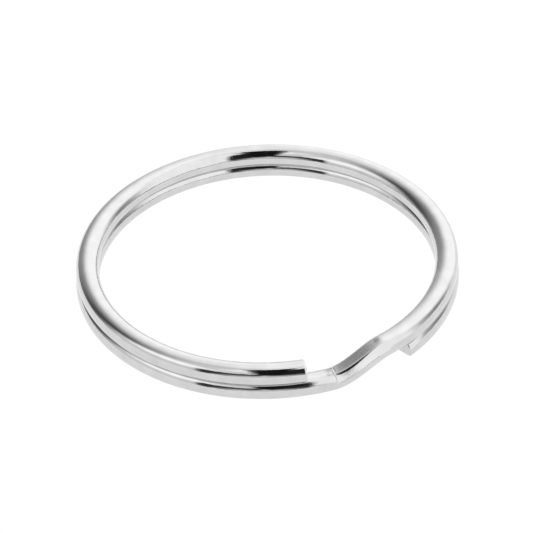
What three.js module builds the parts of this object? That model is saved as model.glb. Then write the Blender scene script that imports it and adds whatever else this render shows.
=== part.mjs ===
// Split key ring: one spring wire wound into two stacked turns, joined by a pressed crossover.
// Millimetres, +Z along the ring's axis. The ring lies flat, centred on the origin, with z = 0 at
// the underside of its lower turn. Places along the wire are angles in degrees, counted from +X and
// anticlockwise seen from above, from the lower turn's cut end up to the upper turn's.
import * as THREE from "three";

// Driving dimensions.
const outerDiameter = 30;
const wireWidth = 1.7; // along the ring's radius
const wireHeight = 1.2; // along the ring's axis
const wireCornerRadius = 0.33;
const seamGap = 0.06; // between the two closed turns
const upperTurnInset = 0.1; // how much smaller the upper turn's radius is

// Places along the wire.
const lowerTipAngle = -46.5;
const rampLowAngle = 288.8; // the crossover starts to climb
const rampHighAngle = 305.5; // and reaches the upper turn
const upperTipAngle = 640.2;
const rampBendShare = 0.25; // share of the ramp that each of its two bends takes
const crossoverMargin = 4; // level wire kept in the crossover before and after the ramp

// A turn flexes by twisting between sections, which are counted from its free tip.
const flexSectionAngle = 60;
const lowerSectionNames = [
  "lower_turn_tip",
  "lower_turn_back_right",
  "lower_turn_back",
  "lower_turn_left",
  "lower_turn_front_left",
];
const upperSectionNames = [
  "upper_turn_tip",
  "upper_turn_left",
  "upper_turn_back_left",
  "upper_turn_back_right",
  "upper_turn_right",
];

// Facets.
const degreesPerStep = 5;
const rampDegreesPerStep = 1.25;
const cornerSegments = 1; // three.js doubles this on an arc

// Worked out from the above.
const lowerRadius = (outerDiameter - wireWidth) / 2; // to the wire's centre
const lowerLevel = wireHeight / 2;
const levelRise = wireHeight + seamGap;
const crossoverStart = rampLowAngle - crossoverMargin;
const crossoverEnd = rampHighAngle + crossoverMargin;

// Share of the climb from the lower turn to the upper one, 0 to 1: a straight ramp with a bend
// at each end.
function climbAt(angle) {
  const t = THREE.MathUtils.clamp((angle - rampLowAngle) / (rampHighAngle - rampLowAngle), 0, 1);
  const bend = rampBendShare;
  if (t < bend) return (t * t) / (2 * bend * (1 - bend));
  if (t > 1 - bend) return 1 - ((1 - t) * (1 - t)) / (2 * bend * (1 - bend));
  return (t - bend / 2) / (1 - bend);
}

// The wire's centre line between two angles. Its tangent is kept level, so that every section of
// the wire is upright and radial, and two neighbours meet on one flat plane.
class WirePath extends THREE.Curve {
  constructor(startAngle, endAngle) {
    super();
    this.startAngle = startAngle;
    this.endAngle = endAngle;
  }

  getPoint(t, target = new THREE.Vector3()) {
    const angle = THREE.MathUtils.lerp(this.startAngle, this.endAngle, t);
    const climb = climbAt(angle);
    const radius = lowerRadius - upperTurnInset * climb;
    const turn = THREE.MathUtils.degToRad(angle);
    return target.set(
      radius * Math.cos(turn),
      radius * Math.sin(turn),
      lowerLevel + levelRise * climb,
    );
  }

  getTangent(t, target = new THREE.Vector3()) {
    const turn = THREE.MathUtils.degToRad(THREE.MathUtils.lerp(this.startAngle, this.endAngle, t));
    return target.set(-Math.sin(turn), Math.cos(turn), 0);
  }
}

// The wire's section, a rounded rectangle. Extruded along a level path, its x is down and its y is
// towards the ring's axis.
function wireShape() {
  const x = wireHeight / 2 - wireCornerRadius;
  const y = wireWidth / 2 - wireCornerRadius;
  const quarter = Math.PI / 2;
  const shape = new THREE.Shape();
  shape.absarc(x, y, wireCornerRadius, 0, quarter);
  shape.absarc(-x, y, wireCornerRadius, quarter, 2 * quarter);
  shape.absarc(-x, -y, wireCornerRadius, 2 * quarter, 3 * quarter);
  shape.absarc(x, -y, wireCornerRadius, 3 * quarter, 4 * quarter);
  shape.closePath();
  return shape;
}

function wireSection(name, startAngle, endAngle, stepDegrees, material) {
  const geometry = new THREE.ExtrudeGeometry(wireShape(), {
    steps: Math.ceil((endAngle - startAngle) / stepDegrees),
    curveSegments: cornerSegments,
    extrudePath: new WirePath(startAngle, endAngle),
  });
  const mesh = new THREE.Mesh(geometry, material);
  mesh.name = name;
  return mesh;
}

const polishedNickel = () =>
  new THREE.MeshStandardMaterial({ color: 0xd6d7d9, roughness: 0.16, metalness: 1 });

const pressedNickel = () =>
  new THREE.MeshStandardMaterial({ color: 0xbfc0c3, roughness: 0.34, metalness: 1 });

// The crossover, which carries both turns.
function crossover() {
  return wireSection(
    "crossover",
    crossoverStart,
    crossoverEnd,
    rampDegreesPerStep,
    pressedNickel(),
  );
}

// The lower turn: flexing sections from its tip, then the root that runs into the crossover.
function lowerTurn() {
  const turn = new THREE.Group();
  lowerSectionNames.forEach((name, index) => {
    const start = lowerTipAngle + index * flexSectionAngle;
    const end = start + flexSectionAngle;
    turn.add(wireSection(name, start, end, degreesPerStep, polishedNickel()));
  });
  const rootStart = lowerTipAngle + lowerSectionNames.length * flexSectionAngle;
  turn.add(
    wireSection("lower_turn_root", rootStart, crossoverStart, degreesPerStep, polishedNickel()),
  );
  return turn;
}

// The upper turn, the same way.
function upperTurn() {
  const turn = new THREE.Group();
  upperSectionNames.forEach((name, index) => {
    const end = upperTipAngle - index * flexSectionAngle;
    const start = end - flexSectionAngle;
    turn.add(wireSection(name, start, end, degreesPerStep, polishedNickel()));
  });
  const rootEnd = upperTipAngle - upperSectionNames.length * flexSectionAngle;
  turn.add(
    wireSection("upper_turn_root", crossoverEnd, rootEnd, degreesPerStep, polishedNickel()),
  );
  return turn;
}

const splitRing = new THREE.Group();
splitRing.add(crossover(), lowerTurn(), upperTurn());

export default splitRing;
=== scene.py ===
import math

import bpy
import numpy as np
from mathutils import Matrix, Vector


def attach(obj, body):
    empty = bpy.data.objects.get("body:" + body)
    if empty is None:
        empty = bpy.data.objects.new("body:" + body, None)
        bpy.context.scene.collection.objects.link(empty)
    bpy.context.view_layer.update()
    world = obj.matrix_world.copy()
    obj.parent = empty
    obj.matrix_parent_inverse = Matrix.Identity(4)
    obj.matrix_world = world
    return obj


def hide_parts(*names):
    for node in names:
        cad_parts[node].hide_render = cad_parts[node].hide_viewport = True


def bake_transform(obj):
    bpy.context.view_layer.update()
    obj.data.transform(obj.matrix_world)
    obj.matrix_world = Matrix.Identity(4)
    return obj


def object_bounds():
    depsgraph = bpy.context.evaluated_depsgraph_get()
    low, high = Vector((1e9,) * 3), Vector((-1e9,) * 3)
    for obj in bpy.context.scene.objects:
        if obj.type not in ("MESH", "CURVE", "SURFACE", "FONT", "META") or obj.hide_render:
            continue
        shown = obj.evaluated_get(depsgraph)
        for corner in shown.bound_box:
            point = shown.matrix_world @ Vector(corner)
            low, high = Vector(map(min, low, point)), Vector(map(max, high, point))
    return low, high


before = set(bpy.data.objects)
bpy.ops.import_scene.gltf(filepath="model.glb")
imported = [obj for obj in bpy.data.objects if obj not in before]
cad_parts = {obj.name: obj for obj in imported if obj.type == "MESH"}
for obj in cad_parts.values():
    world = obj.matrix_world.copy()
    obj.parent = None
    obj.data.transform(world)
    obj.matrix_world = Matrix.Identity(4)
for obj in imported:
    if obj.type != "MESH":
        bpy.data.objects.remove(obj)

cadLow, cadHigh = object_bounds()
millimetre = 0.001
ringCentre = Vector((0, 0, (cadLow.z + cadHigh.z) / 2))  # middle of the ring, half way up its two turns

# camera: a long lens above the front of the ring, leaning a little

camera = {
    "distance": 0.15596,
    "elevation": 37.53,  # degrees above the floor
    "aimShift": (-0.055 * millimetre, -0.652 * millimetre, 0),
    "roll": -2.1,  # degrees
    "lens": 134.3,
    "sensor": 36,
    "nearClip": 0.01,
    "farClip": 20,
}


def makeCamera():
    data = bpy.data.cameras.new("camera")
    data.lens = camera["lens"]
    data.sensor_width = camera["sensor"]
    data.clip_start = camera["nearClip"]
    data.clip_end = camera["farClip"]
    holder = bpy.data.objects.new("camera", data)
    bpy.context.collection.objects.link(holder)
    rise = math.radians(camera["elevation"])
    place = ringCentre + camera["distance"] * Vector((0, -math.cos(rise), math.sin(rise)))
    forward = (ringCentre + Vector(camera["aimShift"]) - place).normalized()
    level = forward.cross(Vector((0, 0, 1))).normalized()
    upright = level.cross(forward)
    roll = math.radians(camera["roll"])
    across = math.cos(roll) * level + math.sin(roll) * upright
    upward = -math.sin(roll) * level + math.cos(roll) * upright
    turn = Matrix((across, upward, -forward)).transposed()
    holder.matrix_world = Matrix.Translation(place) @ turn.to_4x4()
    bpy.context.scene.camera = holder


makeCamera()
print("camera made")

# small helpers for node trees: each makes one node and gives back its output


def linkOrSet(tree, socket, value):
    if isinstance(value, bpy.types.NodeSocket):
        tree.links.new(value, socket)
    elif value is not None:
        socket.default_value = value


def mathNode(tree, operation, first, second=None, third=None):
    node = tree.nodes.new("ShaderNodeMath")
    node.operation = operation
    for socket, value in zip(node.inputs, (first, second, third)):
        linkOrSet(tree, socket, value)
    return node.outputs[0]


def rangeNode(tree, value, fromLow, fromHigh, toLow=0.0, toHigh=1.0, smooth=False):
    node = tree.nodes.new("ShaderNodeMapRange")
    node.interpolation_type = "SMOOTHSTEP" if smooth else "LINEAR"
    for socket, item in zip(node.inputs, (value, fromLow, fromHigh, toLow, toHigh)):
        linkOrSet(tree, socket, item)
    return node.outputs[0]


def dotNode(tree, vector, axis):
    node = tree.nodes.new("ShaderNodeVectorMath")
    node.operation = "DOT_PRODUCT"
    tree.links.new(vector, node.inputs[0])
    node.inputs[1].default_value = axis
    return node.outputs["Value"]


def mixNode(tree, share, first, second):
    node = tree.nodes.new("ShaderNodeMix")
    linkOrSet(tree, node.inputs[0], share)
    linkOrSet(tree, node.inputs[2], first)
    linkOrSet(tree, node.inputs[3], second)
    return node.outputs[0]


def mixColour(tree, share, first, second):
    node = tree.nodes.new("ShaderNodeMix")
    node.data_type = "RGBA"
    linkOrSet(tree, node.inputs[0], share)
    linkOrSet(tree, node.inputs[6], first)
    linkOrSet(tree, node.inputs[7], second)
    return node.outputs[2]


# studio: pale floor, white soft boxes and the dark gaps between them

studio = {
    "wallBrightness": 0.85,
    "backdropBrightness": 1.0,
    "floorColour": (0.1, 0.1, 0.1, 1),
    "floorGlow": 0.93,
    "floorRoughness": 0.9,
    "floorShine": 0.1,
    "floorSize": 6.0,
    "floorDrop": 5 * millimetre,  # room below for the lower turn when it is sprung open
}

# name, azimuth from +X, elevation, half width, half height, soft edge (all degrees), brightness
studioPanels = [
    ("backSoftBox", 56, 35, 40, 33, 12, 1.4),
    ("rightSoftBox", -32, 44, 34, 54, 5, 1.25),
    ("leftSoftBox", 196, 43, 26, 15, 12, 1.45),
    ("backLeftShade", 132, 20, 26, 36, 19, 0.36),
    ("backLeftDark", 155, 31, 16, 29, 16, 0.09),
    ("rightShade", 16, 3, 13, 32, 16, 0.3),
    ("frontDark", -80, 36, 12, 44, 2.5, 0.02),
    ("overheadGap", -91, 63, 7, 38, 2, 0.01),
    ("frontLeftGap", 247, 18, 17, 20, 2.5, 0.04),
    ("frontLow", -96, 3, 19, 13, 12, 0.8),
]


def panelMask(tree, direction, azimuth, elevation, halfWidth, halfHeight, softEdge):
    turn, rise = math.radians(azimuth), math.radians(elevation)
    facing = (math.cos(rise) * math.cos(turn), math.cos(rise) * math.sin(turn), math.sin(rise))
    sideways = (-math.sin(turn), math.cos(turn), 0)
    upward = (-math.sin(rise) * math.cos(turn), -math.sin(rise) * math.sin(turn), math.cos(rise))
    masks = []
    for axis, half in ((sideways, halfWidth), (upward, halfHeight)):
        along, ahead = dotNode(tree, direction, axis), dotNode(tree, direction, facing)
        away = mathNode(tree, "ABSOLUTE", mathNode(tree, "ARCTAN2", along, ahead))
        near, far = math.radians(half - softEdge), math.radians(half + softEdge)
        masks.append(rangeNode(tree, away, near, far, 1.0, 0.0, True))
    return mathNode(tree, "MULTIPLY", *masks)


def makeStudio():
    world = bpy.data.worlds.new("studio")
    bpy.context.scene.world = world
    world.use_nodes = True
    tree = world.node_tree
    tree.nodes.clear()
    direction = tree.nodes.new("ShaderNodeTexCoord").outputs["Generated"]
    brightness = studio["wallBrightness"]
    for name, azimuth, elevation, halfWidth, halfHeight, softEdge, value in studioPanels:
        mask = panelMask(tree, direction, azimuth, elevation, halfWidth, halfHeight, softEdge)
        brightness = mixNode(tree, mask, brightness, value)
        brightness.node.label = name
    # looking straight past the ring there is a plain white backdrop
    seen = tree.nodes.new("ShaderNodeLightPath").outputs["Is Camera Ray"]
    backdrop = mixNode(tree, seen, brightness, studio["backdropBrightness"])
    background = tree.nodes.new("ShaderNodeBackground")
    background.inputs["Color"].default_value = (1, 1, 1, 1)
    tree.links.new(backdrop, background.inputs["Strength"])
    output = tree.nodes.new("ShaderNodeOutputWorld")
    tree.links.new(background.outputs[0], output.inputs["Surface"])


def makeFloor():
    half = studio["floorSize"] / 2
    level = cadLow.z - studio["floorDrop"]
    corners = [(x * half, y * half, level) for x, y in ((-1, -1), (1, -1), (1, 1), (-1, 1))]
    mesh = bpy.data.meshes.new("floor")
    mesh.from_pydata(corners, [], [(0, 1, 2, 3)])
    floor = bpy.data.objects.new("floor", mesh)
    bpy.context.collection.objects.link(floor)
    paper = bpy.data.materials.new("paleFloor")
    paper.use_nodes = True
    shader = paper.node_tree.nodes["Principled BSDF"]
    shader.inputs["Base Color"].default_value = studio["floorColour"]
    shader.inputs["Roughness"].default_value = studio["floorRoughness"]
    shader.inputs["Specular IOR Level"].default_value = studio["floorShine"]
    shader.inputs["Emission Color"].default_value = (1, 1, 1, 1)
    shader.inputs["Emission Strength"].default_value = studio["floorGlow"]
    mesh.materials.append(paper)


makeStudio()
makeFloor()
bpy.context.scene.view_settings.view_transform = "Standard"
print("studio made")

# nickel: bright plate over a drawn wire, satin where the die pressed it, matt where it was sheared

nickel = {
    "colour": (0.672, 0.672, 0.676, 1),
    "wornShare": 0.11,  # how much darker the plate is in its worn spots
    "wornRange": (0.3, 0.75),  # noise values over which the wear comes in
    "roughness": (0.03, 0.1),
    "roughRange": (0.35, 0.7),
    "satinRoughness": (0.24, 0.38),
    "shearedRoughness": (0.3, 0.5),
    "grainRange": (0.3, 0.7),
    "lineHeight": 0.0000007,
    "linesAcross": 22000.0,  # fine drawing lines to the metre, round the wire
    "linesAlong": 260.0,
    "waveHeight": 0.0000055,  # long shallow ripples that make reflected edges ragged
    "wavesAcross": 4200.0,
    "wavesAlong": 1300.0,
    "grainHeight": 0.000007,
    "grainScale": 16000.0,
    "spotScale": 900.0,
    "speckScale": 5000.0,
    "speckRange": (0.42, 0.58),
    "speckShare": 0.9,
    # also the colour of the painted shade in the die-mark nick
    "speckColour": (0.2, 0.2, 0.2, 1),
}


def namedValue(tree, name, output):
    node = tree.nodes.new("ShaderNodeAttribute")
    node.attribute_name = name
    return node.outputs[output]


def stretchedNoise(tree, place, across, along, detail):
    stretch = tree.nodes.new("ShaderNodeVectorMath")
    stretch.operation = "MULTIPLY"
    tree.links.new(place, stretch.inputs[0])
    stretch.inputs[1].default_value = (across, across, along)
    noise = tree.nodes.new("ShaderNodeTexNoise")
    noise.inputs["Scale"].default_value = 1.0
    noise.inputs["Detail"].default_value = detail
    tree.links.new(stretch.outputs[0], noise.inputs["Vector"])
    return noise.outputs["Fac"]


def evenNoise(tree, place, scale, detail):
    return stretchedNoise(tree, place, scale, scale, detail)


def addBump(tree, height, distance, below=None):
    bump = tree.nodes.new("ShaderNodeBump")
    bump.inputs["Strength"].default_value = 1.0
    linkOrSet(tree, bump.inputs["Distance"], distance)
    tree.links.new(height, bump.inputs["Height"])
    if below is not None:
        tree.links.new(below, bump.inputs["Normal"])
    return bump.outputs[0]


def addSpecks(tree, where, colour):
    # dark specks in the scuff patch, and painted shade: the die-mark nick darkened with the same specks
    specks = evenNoise(tree, where, nickel["speckScale"], 2.0)
    specks = rangeNode(tree, specks, *nickel["speckRange"], 0.0, nickel["speckShare"])
    share = mathNode(tree, "MULTIPLY", specks, namedValue(tree, "scuffAndNickShade", "Fac"))
    return mixColour(tree, share, colour, nickel["speckColour"])


def makeNickel(name, matt, mattRoughness, specked):
    # matt is the name of the piece's own 0 to 1 value that marks its dull faces
    material = bpy.data.materials.new(name)
    material.use_nodes = True
    tree = material.node_tree
    shader = tree.nodes["Principled BSDF"]
    shader.inputs["Metallic"].default_value = 1.0
    place = namedValue(tree, "wirePlace", "Vector")
    where = tree.nodes.new("ShaderNodeTexCoord").outputs["Object"]
    dull = namedValue(tree, matt, "Fac")
    lines = stretchedNoise(tree, place, nickel["linesAcross"], nickel["linesAlong"], 3.0)
    waves = stretchedNoise(tree, place, nickel["wavesAcross"], nickel["wavesAlong"], 2.0)
    grain = evenNoise(tree, where, nickel["grainScale"], 3.0)
    spots = evenNoise(tree, where, nickel["spotScale"], 4.0)

    bright = rangeNode(tree, spots, *nickel["roughRange"], *nickel["roughness"])
    satin = rangeNode(tree, grain, *nickel["grainRange"], *mattRoughness)
    tree.links.new(rangeNode(tree, dull, 0.0, 1.0, bright, satin), shader.inputs["Roughness"])

    wornColour = tuple(value * (1 - nickel["wornShare"]) for value in nickel["colour"][:3]) + (1,)
    worn = rangeNode(tree, spots, *nickel["wornRange"])
    colour = mixColour(tree, worn, nickel["colour"], wornColour)
    if specked:
        colour = addSpecks(tree, where, colour)
    tree.links.new(colour, shader.inputs["Base Color"])

    normal = addBump(tree, waves, nickel["waveHeight"])
    normal = addBump(tree, lines, nickel["lineHeight"], normal)
    normal = addBump(tree, grain, mathNode(tree, "MULTIPLY", dull, nickel["grainHeight"]), normal)
    tree.links.new(normal, shader.inputs["Normal"])
    return material


plateNickel = makeNickel("plateNickel", "sheared", nickel["shearedRoughness"], False)
pressedNickel = makeNickel("pressedNickel", "pressed", nickel["satinRoughness"], True)
print("nickel made")

# the wire: one section swept along one path, by a node tree

section = {
    "width": 1.80 * millimetre,
    "heightAbove": 0.86 * millimetre,  # from the widest level up to the domed top
    "heightBelow": 0.385 * millimetre,  # and down to the flat underside
    "topRadius": 0.56 * millimetre,
    "bottomRadius": 0.16 * millimetre,
    "topCrown": 0.33,  # how far a face turns from edge to edge, radians
    "bottomCrown": 0.04,
    "sideCrown": 0.25,
    "outerSwell": 80.0,  # share by which the dome rises, per metre outward
    "girth": 5.1 * millimetre,
    "points": 96,
    "finePoints": 240,  # for the crossover, where the die's edges are crisp
}

path = {
    "rampStart": 287.75,  # one angle runs along the whole wire, in degrees
    "rampEnd": 306.55,
    "flexSection": 60.0,
    "firstBend": 0.7,  # how far past its root a turn begins to bend
    "seamGap": 0.008 * millimetre,  # left between the turns at rest
    "outerShift": 0.04 * millimetre,
    "upperInset": 0.1 * millimetre,  # the upper turn is wound a little smaller
    "step": 0.3,
    "fineStep": 0.08,
}

path["lowerLevel"] = cadLow.z + section["heightBelow"]
path["upperLevel"] = path["lowerLevel"] + section["heightAbove"] + section["heightBelow"] + path["seamGap"]
path["lowerRadius"] = cadHigh.x + path["outerShift"] - section["width"] / 2
path["upperRadius"] = path["lowerRadius"] - path["upperInset"]


def smoothStep(low, high, value):
    share = np.clip((value - low) / (high - low), 0, 1)
    return share * share * (3 - 2 * share)


def climbAt(angle):
    return smoothStep(path["rampStart"], path["rampEnd"], angle)


def radiusAt(angle):
    return path["lowerRadius"] + climbAt(angle) * (path["upperRadius"] - path["lowerRadius"])


def levelAt(angle):
    return path["lowerLevel"] + climbAt(angle) * (path["upperLevel"] - path["lowerLevel"])


def solveCore(half, radius, crown):
    # half sizes of the flat core that the round corners wrap, from the outer sizes
    side = section["sideCrown"]
    matrix = np.array([[math.hypot(1, crown), side], [crown, math.hypot(1, side)]])
    outer = np.array([section["width"] / 2, half]) - radius
    return [float(size) for size in np.linalg.solve(matrix, outer)]


topCore = solveCore(section["heightAbove"], section["topRadius"], section["topCrown"])
bottomCore = solveCore(section["heightBelow"], section["bottomRadius"], section["bottomCrown"])


def pathNodes(tree, given):
    # the wire's middle line: a level circle, a smooth climb and a second level circle
    nodes, links = tree.nodes, tree.links
    line = nodes.new("GeometryNodeCurvePrimitiveLine")
    line.inputs["End"].default_value = (1, 0, 0)
    resample = nodes.new("GeometryNodeResampleCurve")
    links.new(line.outputs[0], resample.inputs["Curve"])
    links.new(mathNode(tree, "ADD", given["Steps"], 1), resample.inputs["Count"])
    factor = nodes.new("GeometryNodeSplineParameter").outputs["Factor"]
    angle = rangeNode(tree, factor, 0.0, 1.0, given["Start Angle"], given["End Angle"])
    climb = rangeNode(tree, angle, given["Ramp Start"], given["Ramp End"], 0.0, 1.0, True)
    radius = rangeNode(tree, climb, 0.0, 1.0, given["Lower Radius"], given["Upper Radius"])
    level = rangeNode(tree, climb, 0.0, 1.0, given["Lower Level"], given["Upper Level"])
    turn = mathNode(tree, "RADIANS", angle)
    point = nodes.new("ShaderNodeCombineXYZ")
    links.new(mathNode(tree, "MULTIPLY", radius, mathNode(tree, "COSINE", turn)), point.inputs[0])
    links.new(mathNode(tree, "MULTIPLY", radius, mathNode(tree, "SINE", turn)), point.inputs[1])
    links.new(level, point.inputs[2])
    keepAngle = nodes.new("GeometryNodeStoreNamedAttribute")
    keepAngle.inputs["Name"].default_value = "wireAngle"
    links.new(resample.outputs[0], keepAngle.inputs["Geometry"])
    links.new(angle, keepAngle.inputs["Value"])
    bend = nodes.new("GeometryNodeSetPosition")
    links.new(keepAngle.outputs[0], bend.inputs["Geometry"])
    links.new(point.outputs[0], bend.inputs["Position"])
    upright = nodes.new("GeometryNodeSetCurveNormal")
    upright.mode = "Z_UP"
    links.new(bend.outputs[0], upright.inputs["Curve"])
    return upright.outputs[0]


def sectionNodes(tree, given):
    # a domed top on a flat underside: crowned faces, joined by round corners
    nodes, links = tree.nodes, tree.links
    circle = nodes.new("GeometryNodeCurvePrimitiveCircle")
    links.new(given["Section Points"], circle.inputs["Resolution"])
    part = nodes.new("GeometryNodeSplineParameter").outputs["Factor"]
    around = mathNode(tree, "MULTIPLY_ADD", part, -2 * math.pi, 2 * math.pi)
    cosine, sine = mathNode(tree, "COSINE", around), mathNode(tree, "SINE", around)
    above = mathNode(tree, "GREATER_THAN", sine, 0.0)

    def byHalf(name):
        return rangeNode(tree, above, 0.0, 1.0, given["Bottom " + name], given["Top " + name])

    def spread(value, crown):
        squares = mathNode(tree, "MULTIPLY_ADD", value, value, mathNode(tree, "MULTIPLY", crown, crown))
        return mathNode(tree, "SQRT", squares)

    top, side, corner = byHalf("Crown"), given["Side Crown"], byHalf("Radius")
    topSpread, sideSpread = spread(cosine, top), spread(sine, side)

    def reach(mainCore, mainCrown, mainSpread, otherCore, otherCrown, otherSpread):
        swell = mathNode(tree, "MULTIPLY_ADD", mainCrown, mainCrown, 1.0)
        main = mathNode(tree, "DIVIDE", mathNode(tree, "MULTIPLY", mainCore, swell), mainSpread)
        square = mathNode(tree, "MULTIPLY", otherCrown, otherCrown)
        other = mathNode(tree, "DIVIDE", mathNode(tree, "MULTIPLY", otherCore, square), otherSpread)
        return mathNode(tree, "ADD", mathNode(tree, "ADD", main, other), corner)

    wide, tall = byHalf("Core Width"), byHalf("Core Height")
    across = mathNode(tree, "MULTIPLY", cosine, reach(wide, top, topSpread, tall, side, sideSpread))
    upward = mathNode(tree, "MULTIPLY", sine, reach(tall, side, sideSpread, wide, top, topSpread))
    lift = mathNode(tree, "MULTIPLY", across, mathNode(tree, "MULTIPLY", given["Outer Swell"], above))
    risen = mathNode(tree, "MULTIPLY_ADD", upward, lift, upward)
    outline = nodes.new("ShaderNodeCombineXYZ")
    links.new(across, outline.inputs[0])
    links.new(mathNode(tree, "MULTIPLY", risen, -1.0), outline.inputs[1])  # the sweep turns it over
    keepAround = nodes.new("GeometryNodeStoreNamedAttribute")
    keepAround.inputs["Name"].default_value = "sectionAngle"
    links.new(circle.outputs[0], keepAround.inputs["Geometry"])
    links.new(around, keepAround.inputs["Value"])
    form = nodes.new("GeometryNodeSetPosition")
    links.new(keepAround.outputs[0], form.inputs["Geometry"])
    links.new(outline.outputs[0], form.inputs["Position"])
    return form.outputs[0]


def buildWireTree():
    tree = bpy.data.node_groups.new("wireLength", "GeometryNodeTree")
    sizes = {
        "Start Angle": path["rampStart"], "End Angle": path["rampEnd"],
        "Ramp Start": path["rampStart"], "Ramp End": path["rampEnd"],
        "Lower Radius": path["lowerRadius"], "Upper Radius": path["upperRadius"],
        "Lower Level": path["lowerLevel"], "Upper Level": path["upperLevel"],
        "Top Core Width": topCore[0], "Bottom Core Width": bottomCore[0],
        "Top Core Height": topCore[1], "Bottom Core Height": bottomCore[1],
        "Top Radius": section["topRadius"], "Bottom Radius": section["bottomRadius"],
        "Top Crown": section["topCrown"], "Bottom Crown": section["bottomCrown"],
        "Side Crown": section["sideCrown"], "Outer Swell": section["outerSwell"],
    }
    for name, value in sizes.items():
        socket = tree.interface.new_socket(name=name, in_out="INPUT", socket_type="NodeSocketFloat")
        socket.default_value = value
    for name, value in (("Steps", 120), ("Section Points", section["points"])):
        socket = tree.interface.new_socket(name=name, in_out="INPUT", socket_type="NodeSocketInt")
        socket.default_value = value
    tree.interface.new_socket(name="Finish", in_out="INPUT", socket_type="NodeSocketMaterial")
    tree.interface.new_socket(name="Geometry", in_out="OUTPUT", socket_type="NodeSocketGeometry")
    nodes, links = tree.nodes, tree.links
    given = nodes.new("NodeGroupInput").outputs
    sweep = nodes.new("GeometryNodeCurveToMesh")
    links.new(pathNodes(tree, given), sweep.inputs["Curve"])
    links.new(sectionNodes(tree, given), sweep.inputs["Profile Curve"])
    sweep.inputs["Fill Caps"].default_value = True
    whole = nodes.new("GeometryNodeRealizeInstances")
    links.new(sweep.outputs[0], whole.inputs[0])
    coat = nodes.new("GeometryNodeSetMaterial")
    links.new(whole.outputs[0], coat.inputs["Geometry"])
    links.new(given["Finish"], coat.inputs["Material"])
    output = nodes.new("NodeGroupOutput")
    links.new(coat.outputs[0], output.inputs["Geometry"])
    return tree


wireTree = buildWireTree()
wireSockets = [item for item in wireTree.interface.items_tree if item.in_out == "INPUT"]
wireInputs = {item.name: item.identifier for item in wireSockets}


def makeWireLength(name, startAngle, endAngle, step, finish, points):
    holder = bpy.data.objects.new(name + "Tree", bpy.data.meshes.new(name + "Tree"))
    bpy.context.collection.objects.link(holder)
    modifier = holder.modifiers.new("wire", "NODES")
    modifier.node_group = wireTree
    modifier[wireInputs["Start Angle"]] = float(startAngle)
    modifier[wireInputs["End Angle"]] = float(endAngle)
    modifier[wireInputs["Steps"]] = int(round((endAngle - startAngle) / step))
    modifier[wireInputs["Section Points"]] = points
    modifier[wireInputs["Finish"]] = finish
    graph = bpy.context.evaluated_depsgraph_get()
    mesh = bpy.data.meshes.new_from_object(holder.evaluated_get(graph))
    bpy.data.objects.remove(holder)
    mesh.name = name
    piece = bpy.data.objects.new(name, mesh)
    bpy.context.collection.objects.link(piece)
    return piece


# the sweep leaves two angles on every point: along the wire in degrees, round the section in radians


def readFloats(mesh, name):
    values = np.zeros(len(mesh.vertices), dtype=np.float32)
    mesh.attributes[name].data.foreach_get("value", values)
    return values.astype(float)


def openSection(mesh):
    # every point of the wire as out (from the ring's middle) and up (square to the wire)
    angle = readFloats(mesh, "wireAngle")
    spots = np.zeros(len(mesh.vertices) * 3, dtype=np.float32)
    mesh.vertices.foreach_get("co", spots)
    spots = spots.reshape(-1, 3).astype(float)
    turn, nothing = np.radians(angle), np.zeros(len(angle))
    outward = np.stack([np.cos(turn), np.sin(turn), nothing], axis=1)
    ahead = np.stack([-np.sin(turn), np.cos(turn), nothing], axis=1)
    look = 0.05  # degrees each way, to measure the climb
    rise = (levelAt(angle + look) - levelAt(angle - look)) / (radiusAt(angle) * math.radians(2 * look))
    upward = (np.array([0, 0, 1]) - ahead * rise[:, None]) / np.hypot(1, rise)[:, None]
    centre = outward * radiusAt(angle)[:, None]
    centre[:, 2] += levelAt(angle)
    out = ((spots - centre) * outward).sum(axis=1)
    up = ((spots - centre) * upward).sum(axis=1)
    return angle, spots, outward, upward, out, up


def moveSpots(mesh, spots):
    mesh.vertices.foreach_set("co", spots.astype(np.float32).ravel())
    mesh.update()


def finishMesh(piece, sheared):
    # smooth tube, sharp flat ends, and the place along and round the wire kept for the material
    mesh = piece.data
    angle, around = readFloats(mesh, "wireAngle"), readFloats(mesh, "sectionAngle")
    reach = section["girth"] / (2 * math.pi)
    run = np.radians(angle) * path["lowerRadius"]
    place = np.stack([reach * np.cos(around), reach * np.sin(around), run], axis=1)
    layer = mesh.attributes.new("wirePlace", "FLOAT_VECTOR", "POINT")
    layer.data.foreach_set("vector", place.astype(np.float32).ravel())
    smooth = [len(face.vertices) == 4 for face in mesh.polygons]
    mesh.polygons.foreach_set("use_smooth", smooth)
    layer = mesh.attributes.new("sheared", "FLOAT", "FACE")
    layer.data.foreach_set("value", [0.0 if isSmooth or not sheared else 1.0 for isSmooth in smooth])
    rims = {key for face in mesh.polygons if len(face.vertices) != 4 for key in face.edge_keys}
    for edge in mesh.edges:
        edge.use_edge_sharp = tuple(sorted(edge.vertices)) in rims
    for name in ("wireAngle", "sectionAngle"):
        mesh.attributes.remove(mesh.attributes[name])
    mesh.update()


# the two turns: five lengths each, from the crossover out to a sheared end

upperTurn = {
    "root": 309.5,  # wire angles, in degrees
    "tip": 640.2,
    "end": 640.2,
    "names": ["upperWireRight", "upperWireBackRight", "upperWireBackLeft", "upperWireLeft", "upperWireTip"],
    "nodes": [
        ["upper_turn_root", "upper_turn_right"],
        ["upper_turn_back_right"],
        ["upper_turn_back_left"],
        ["upper_turn_left"],
        ["upper_turn_tip"],
    ],
    "bodies": [
        "crossover",
        "upper_right",
        "upper_back_right",
        "upper_back_left",
        "upper_left",
        "upper_tip",
    ],
}

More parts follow.
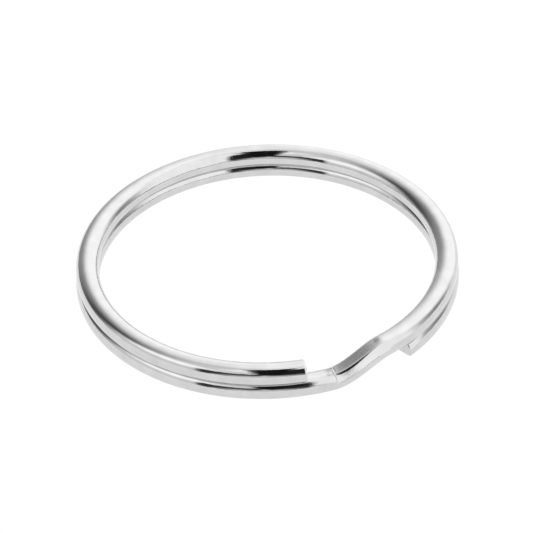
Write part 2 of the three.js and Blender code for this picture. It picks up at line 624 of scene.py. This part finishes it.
lowerTurn = {
    "root": 284.8,
    "tip": -46.5,
    "end": -45.8,  # the cut lies just short of the tip that the hinges are counted from
    "names": ["lowerWireFrontLeft", "lowerWireLeft", "lowerWireBack", "lowerWireBackRight", "lowerWireTip"],
    "nodes": [
        ["lower_turn_root", "lower_turn_front_left"],
        ["lower_turn_left"],
        ["lower_turn_back"],
        ["lower_turn_back_right"],
        ["lower_turn_tip"],
    ],
    "bodies": [
        "crossover",
        "lower_front_left",
        "lower_left",
        "lower_back",
        "lower_back_right",
        "lower_tip",
    ],
}

shear = {
    "bevel": 0.045 * millimetre,
    "cutDepth": 0.0001 * millimetre,  # points this near the end lie on the cut
    "rolloverLength": 2.2 * millimetre,
    "rolloverDrop": 0.2 * millimetre,  # only on the lower turn, where the blade came down
    "rolloverSide": (-0.3 * millimetre, 0.7 * millimetre),  # it deepens outward
}


def shearEnd(piece, end, direction):
    mesh = piece.data
    angle, spots, outward, upward, out, up = openSection(mesh)
    away = np.radians(np.abs(end - angle)) * path["lowerRadius"]
    if direction < 0:
        press = smoothStep(shear["rolloverLength"], 0, away) ** 2
        side = smoothStep(*shear["rolloverSide"], out) * (up > 0)
        drop = shear["rolloverDrop"] * press * side * up / section["heightAbove"]
        spots -= upward * drop[:, None]
        up = up - drop
    onCut = away < shear["cutDepth"]
    share = np.where(onCut, shear["bevel"] / np.maximum(np.hypot(out, up), shear["bevel"]), 0)
    spots -= (outward * out[:, None] + upward * up[:, None]) * share[:, None]
    moveSpots(mesh, spots)


def makeTurn(turn):
    flex = path["flexSection"]
    direction = 1 if turn["tip"] > turn["root"] else -1
    lengths = len(turn["names"])
    hinges = [turn["tip"] - direction * flex * count for count in range(lengths, 0, -1)]
    edges = [turn["root"]] + [hinge + direction * flex / 2 for hinge in hinges[:-1]] + [turn["end"]]
    for index, name in enumerate(turn["names"]):
        start, end = edges[index], edges[index + 1]
        low, high = min(start, end), max(start, end)
        piece = makeWireLength(name, low, high, path["step"], plateNickel, section["points"])
        isLast = index == lengths - 1
        if isLast:
            shearEnd(piece, end, direction)
        finishMesh(piece, isLast)
        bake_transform(piece)
        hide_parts(*turn["nodes"][index])


makeTurn(upperTurn)
print("upper turn made")
makeTurn(lowerTurn)
print("lower turn made")

# the crossover: the length that climbs from turn to turn, pressed flat on top by a die

press = {
    "topAbove": 0.3 * millimetre,  # only the dome above this height is touched
    "edge": 0.44 * millimetre,  # how far out of the wire's middle the flat ends
    "tilt": 0.12,  # its slope down to the inside of the ring
    "shoulderTilt": 1.4,  # and the slope outward beyond the edge
    "edgeSoftness": 0.2 * millimetre,
    "edgeLift": 0.04 * millimetre,
    "rimSoftness": 0.015 * millimetre,
    "askew": 0.35 / millimetre,  # the die stood a little askew: degrees to the metre outward
    "start": (288.95, 289.3),  # wire angles over which the die bites in
    "end": (304.7, 306.9),  # and lets go
    "endCurve": 1.2,  # degrees by which it lets go sooner in the middle
    "endMiddle": -0.1 * millimetre,
    "endReach": 0.5 * millimetre,
    "endLimit": 1.5,
    "markAngle": 289.65,
    "markSpread": 0.13,  # degrees
    "markDepth": 0.03 * millimetre,
    "markSide": (0.35 * millimetre, -0.05 * millimetre),  # it fades in towards the inside
    # painted shade: how strongly the die-mark nick is darkened with specks
    "markShade": 0.8,
    "patch": (285.4, 288.2),  # a scuffed patch ahead of the die mark
    "patchSide": (0.3 * millimetre, 0.6 * millimetre),
    "dullSide": (-0.02 * millimetre, 0.04 * millimetre),  # where the satin stops, from the edge
}


def softLower(first, second, soft):
    share = np.clip(0.5 + 0.5 * (second - first) / soft, 0, 1)
    return second * (1 - share) + first * share - soft * share * (1 - share)


def keepValue(mesh, name, values):
    layer = mesh.attributes.new(name, "FLOAT", "POINT")
    layer.data.foreach_set("value", values.astype(np.float32))


def pressFlat(piece):
    mesh = piece.data
    angle, spots, outward, upward, out, up = openSection(mesh)
    top = up > press["topAbove"]
    order = np.argsort(out[top])
    edgeHeight = np.interp(press["edge"], out[top][order], up[top][order]) + press["edgeLift"]
    beyond = out - press["edge"]
    plane = edgeHeight + press["tilt"] * beyond
    shoulder = edgeHeight - press["shoulderTilt"] * beyond
    ridge = softLower(plane, shoulder, press["edgeSoftness"])
    pressed = softLower(ridge, up, press["rimSoftness"])

    slanted = angle + press["askew"] * out
    middle = (out - press["endMiddle"]) / press["endReach"]
    ending = angle + press["endCurve"] * (1 - np.minimum(middle * middle, press["endLimit"]))
    bite = smoothStep(*press["start"], slanted) * (1 - smoothStep(*press["end"], ending))
    mark = np.exp(-((slanted - press["markAngle"]) / press["markSpread"]) ** 2)
    mark = mark * smoothStep(*press["markSide"], out)
    move = np.where(top, (pressed - up) * bite - press["markDepth"] * mark, 0)
    moveSpots(mesh, spots + upward * move[:, None])

    scuffAndNickShade = smoothStep(*press["patch"], angle) * (1 - smoothStep(*press["start"], angle))
    scuffAndNickShade = scuffAndNickShade * top * (1 - smoothStep(*press["patchSide"], np.abs(out)))
    satin = bite * top * (1 - smoothStep(*press["dullSide"], beyond))
    keepValue(mesh, "pressed", np.maximum(satin, scuffAndNickShade))
    # this value also carries painted shade: the die-mark nick darkened with specks, on top of the scuff
    # patch
    keepValue(mesh, "scuffAndNickShade", np.maximum(scuffAndNickShade, press["markShade"] * mark * top))


def makeCrossover():
    low, high = lowerTurn["root"], upperTurn["root"]
    step, points = path["fineStep"], section["finePoints"]
    piece = makeWireLength("crossoverWire", low, high, step, pressedNickel, points)
    pressFlat(piece)
    finishMesh(piece, False)
    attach(piece, "crossover")
    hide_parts("crossover")


makeCrossover()
print("crossover made")
